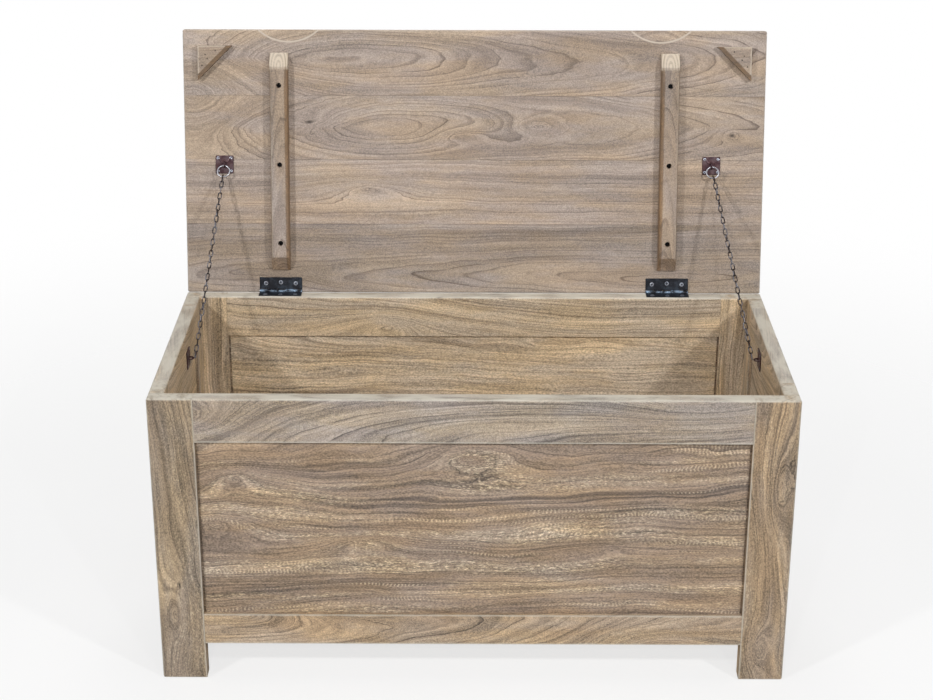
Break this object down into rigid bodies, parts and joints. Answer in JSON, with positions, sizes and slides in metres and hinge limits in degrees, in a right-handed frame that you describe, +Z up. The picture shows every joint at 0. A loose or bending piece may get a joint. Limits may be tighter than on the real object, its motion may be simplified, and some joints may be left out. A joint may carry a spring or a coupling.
{
  "type": "blanket chest",
  "caption": "Low rectangular frame-and-panel wooden storage chest on short legs, with a hinged plank lid held open by side chains.",
  "frame": {"origin": "on the floor, under the middle of the box that holds the chest with its lid open", "axes": "+X to the right along the front, +Y from the front to the back, +Z up"},
  "size_m": [1, 0.5764, 0.936],
  "materials": {
    "frame_wood": "weathered, waxed",
    "lid_wood": "weathered, waxed",
    "panel_wood": "weathered, waxed",
    "plain_board": "bare",
    "black_iron": "black lacquer",
    "brown_iron": "dark brown, oiled",
    "chain_steel": "bronzed, worn bright",
    "screw_steel": "dark zinc"
  },
  "bodies": {
    "carcass": {"front_left_post_face_board": "frame_wood", "front_left_post_return_board": "frame_wood", "front_right_post_face_board": "frame_wood", "front_right_post_return_board": "frame_wood", "back_left_post_face_board": "frame_wood", "back_left_post_return_board": "frame_wood", "back_right_post_face_board": "frame_wood", "back_right_post_return_board": "frame_wood", "front_top_rail": "frame_wood", "front_bottom_rail": "frame_wood", "front_panel": "panel_wood", "back_top_rail": "frame_wood", "back_bottom_rail": "frame_wood", "back_panel": "panel_wood", "left_top_rail": "frame_wood", "left_bottom_rail": "frame_wood", "left_panel": "panel_wood", "right_top_rail": "frame_wood", "right_bottom_rail": "frame_wood", "right_panel": "panel_wood", "front_bottom_bearer": "plain_board", "back_bottom_bearer": "plain_board", "bottom_sheet": "plain_board", "left_hinge_frame_leaf": "black_iron", "left_hinge_pin": "black_iron", "left_side_chain_plate": "brown_iron", "left_side_chain_staple": "brown_iron", "right_hinge_frame_leaf": "black_iron", "right_hinge_pin": "black_iron", "right_side_chain_plate": "brown_iron", "right_side_chain_staple": "brown_iron"},
    "lid": {"lid_rear_board": "lid_wood", "lid_inner_board": "lid_wood", "lid_outer_board": "lid_wood", "lid_front_board": "lid_wood", "left_lid_batten": "lid_wood", "left_batten_rear_screw": "screw_steel", "left_batten_middle_screw": "screw_steel", "left_batten_front_screw": "screw_steel", "left_lid_corner_block": "lid_wood", "left_hinge_lid_leaf": "black_iron", "left_lid_chain_plate": "brown_iron", "left_lid_chain_staple": "brown_iron", "right_lid_batten": "lid_wood", "right_batten_rear_screw": "screw_steel", "right_batten_middle_screw": "screw_steel", "right_batten_front_screw": "screw_steel", "right_lid_corner_block": "lid_wood", "right_hinge_lid_leaf": "black_iron", "right_lid_chain_plate": "brown_iron", "right_lid_chain_staple": "brown_iron"},
    "left_chain_upper": {"left_chain_ring": "chain_steel", "left_chain_upper_links": "chain_steel"},
    "left_chain_fold": {"left_chain_fold_links": "chain_steel"},
    "left_chain_lower": {"left_chain_lower_links": "chain_steel"},
    "right_chain_upper": {"right_chain_ring": "chain_steel", "right_chain_upper_links": "chain_steel"},
    "right_chain_fold": {"right_chain_fold_links": "chain_steel"},
    "right_chain_lower": {"right_chain_lower_links": "chain_steel"}
  },
  "joints": [
    {"name": "lid_hinge", "type": "hinge", "parent": "carcass", "child": "lid", "pos_m": [0, 0.16976, 0.4943], "axis": [1, 0, 0], "range_deg": [0, 102]},
    {"name": "left_chain_ring_swing", "type": "hinge", "parent": "lid", "child": "left_chain_upper", "pos_m": [-0.4315, 0.21036, 0.71005], "axis": [1, 0, 0], "range_deg": [-63.83, 0]},
    {"name": "left_chain_fold_links_turn", "type": "hinge", "parent": "left_chain_upper", "child": "left_chain_fold", "pos_m": [-0.44677, 0.097, 0.58354], "axis": [1, 0, 0], "range_deg": [0, 93.69]},
    {"name": "left_chain_lower_links_turn", "type": "hinge", "parent": "left_chain_fold", "child": "left_chain_lower", "pos_m": [-0.45131, 0.06325, 0.54587], "axis": [1, 0, 0], "range_deg": [0, 95.95]},
    {"name": "right_chain_ring_swing", "type": "hinge", "parent": "lid", "child": "right_chain_upper", "pos_m": [0.4095, 0.21036, 0.71005], "axis": [1, 0, 0], "range_deg": [-63.58, 0]},
    {"name": "right_chain_fold_links_turn", "type": "hinge", "parent": "right_chain_upper", "child": "right_chain_fold", "pos_m": [0.43541, 0.09706, 0.5836], "axis": [1, 0, 0], "range_deg": [0, 93.44]},
    {"name": "right_chain_lower_links_turn", "type": "hinge", "parent": "right_chain_fold", "child": "right_chain_lower", "pos_m": [0.44314, 0.06328, 0.5459], "axis": [1, 0, 0], "range_deg": [0, 96.3]}
  ],
  "couplings": [
    {"joint": "left_chain_ring_swing", "follows": "lid_hinge", "ratio": -0.62572},
    {"joint": "left_chain_fold_links_turn", "follows": "lid_hinge", "ratio": 0.91847},
    {"joint": "left_chain_lower_links_turn", "follows": "lid_hinge", "ratio": 0.94072},
    {"joint": "right_chain_ring_swing", "follows": "lid_hinge", "ratio": -0.62332},
    {"joint": "right_chain_fold_links_turn", "follows": "lid_hinge", "ratio": 0.91606},
    {"joint": "right_chain_lower_links_turn", "follows": "lid_hinge", "ratio": 0.94407}
  ]
}
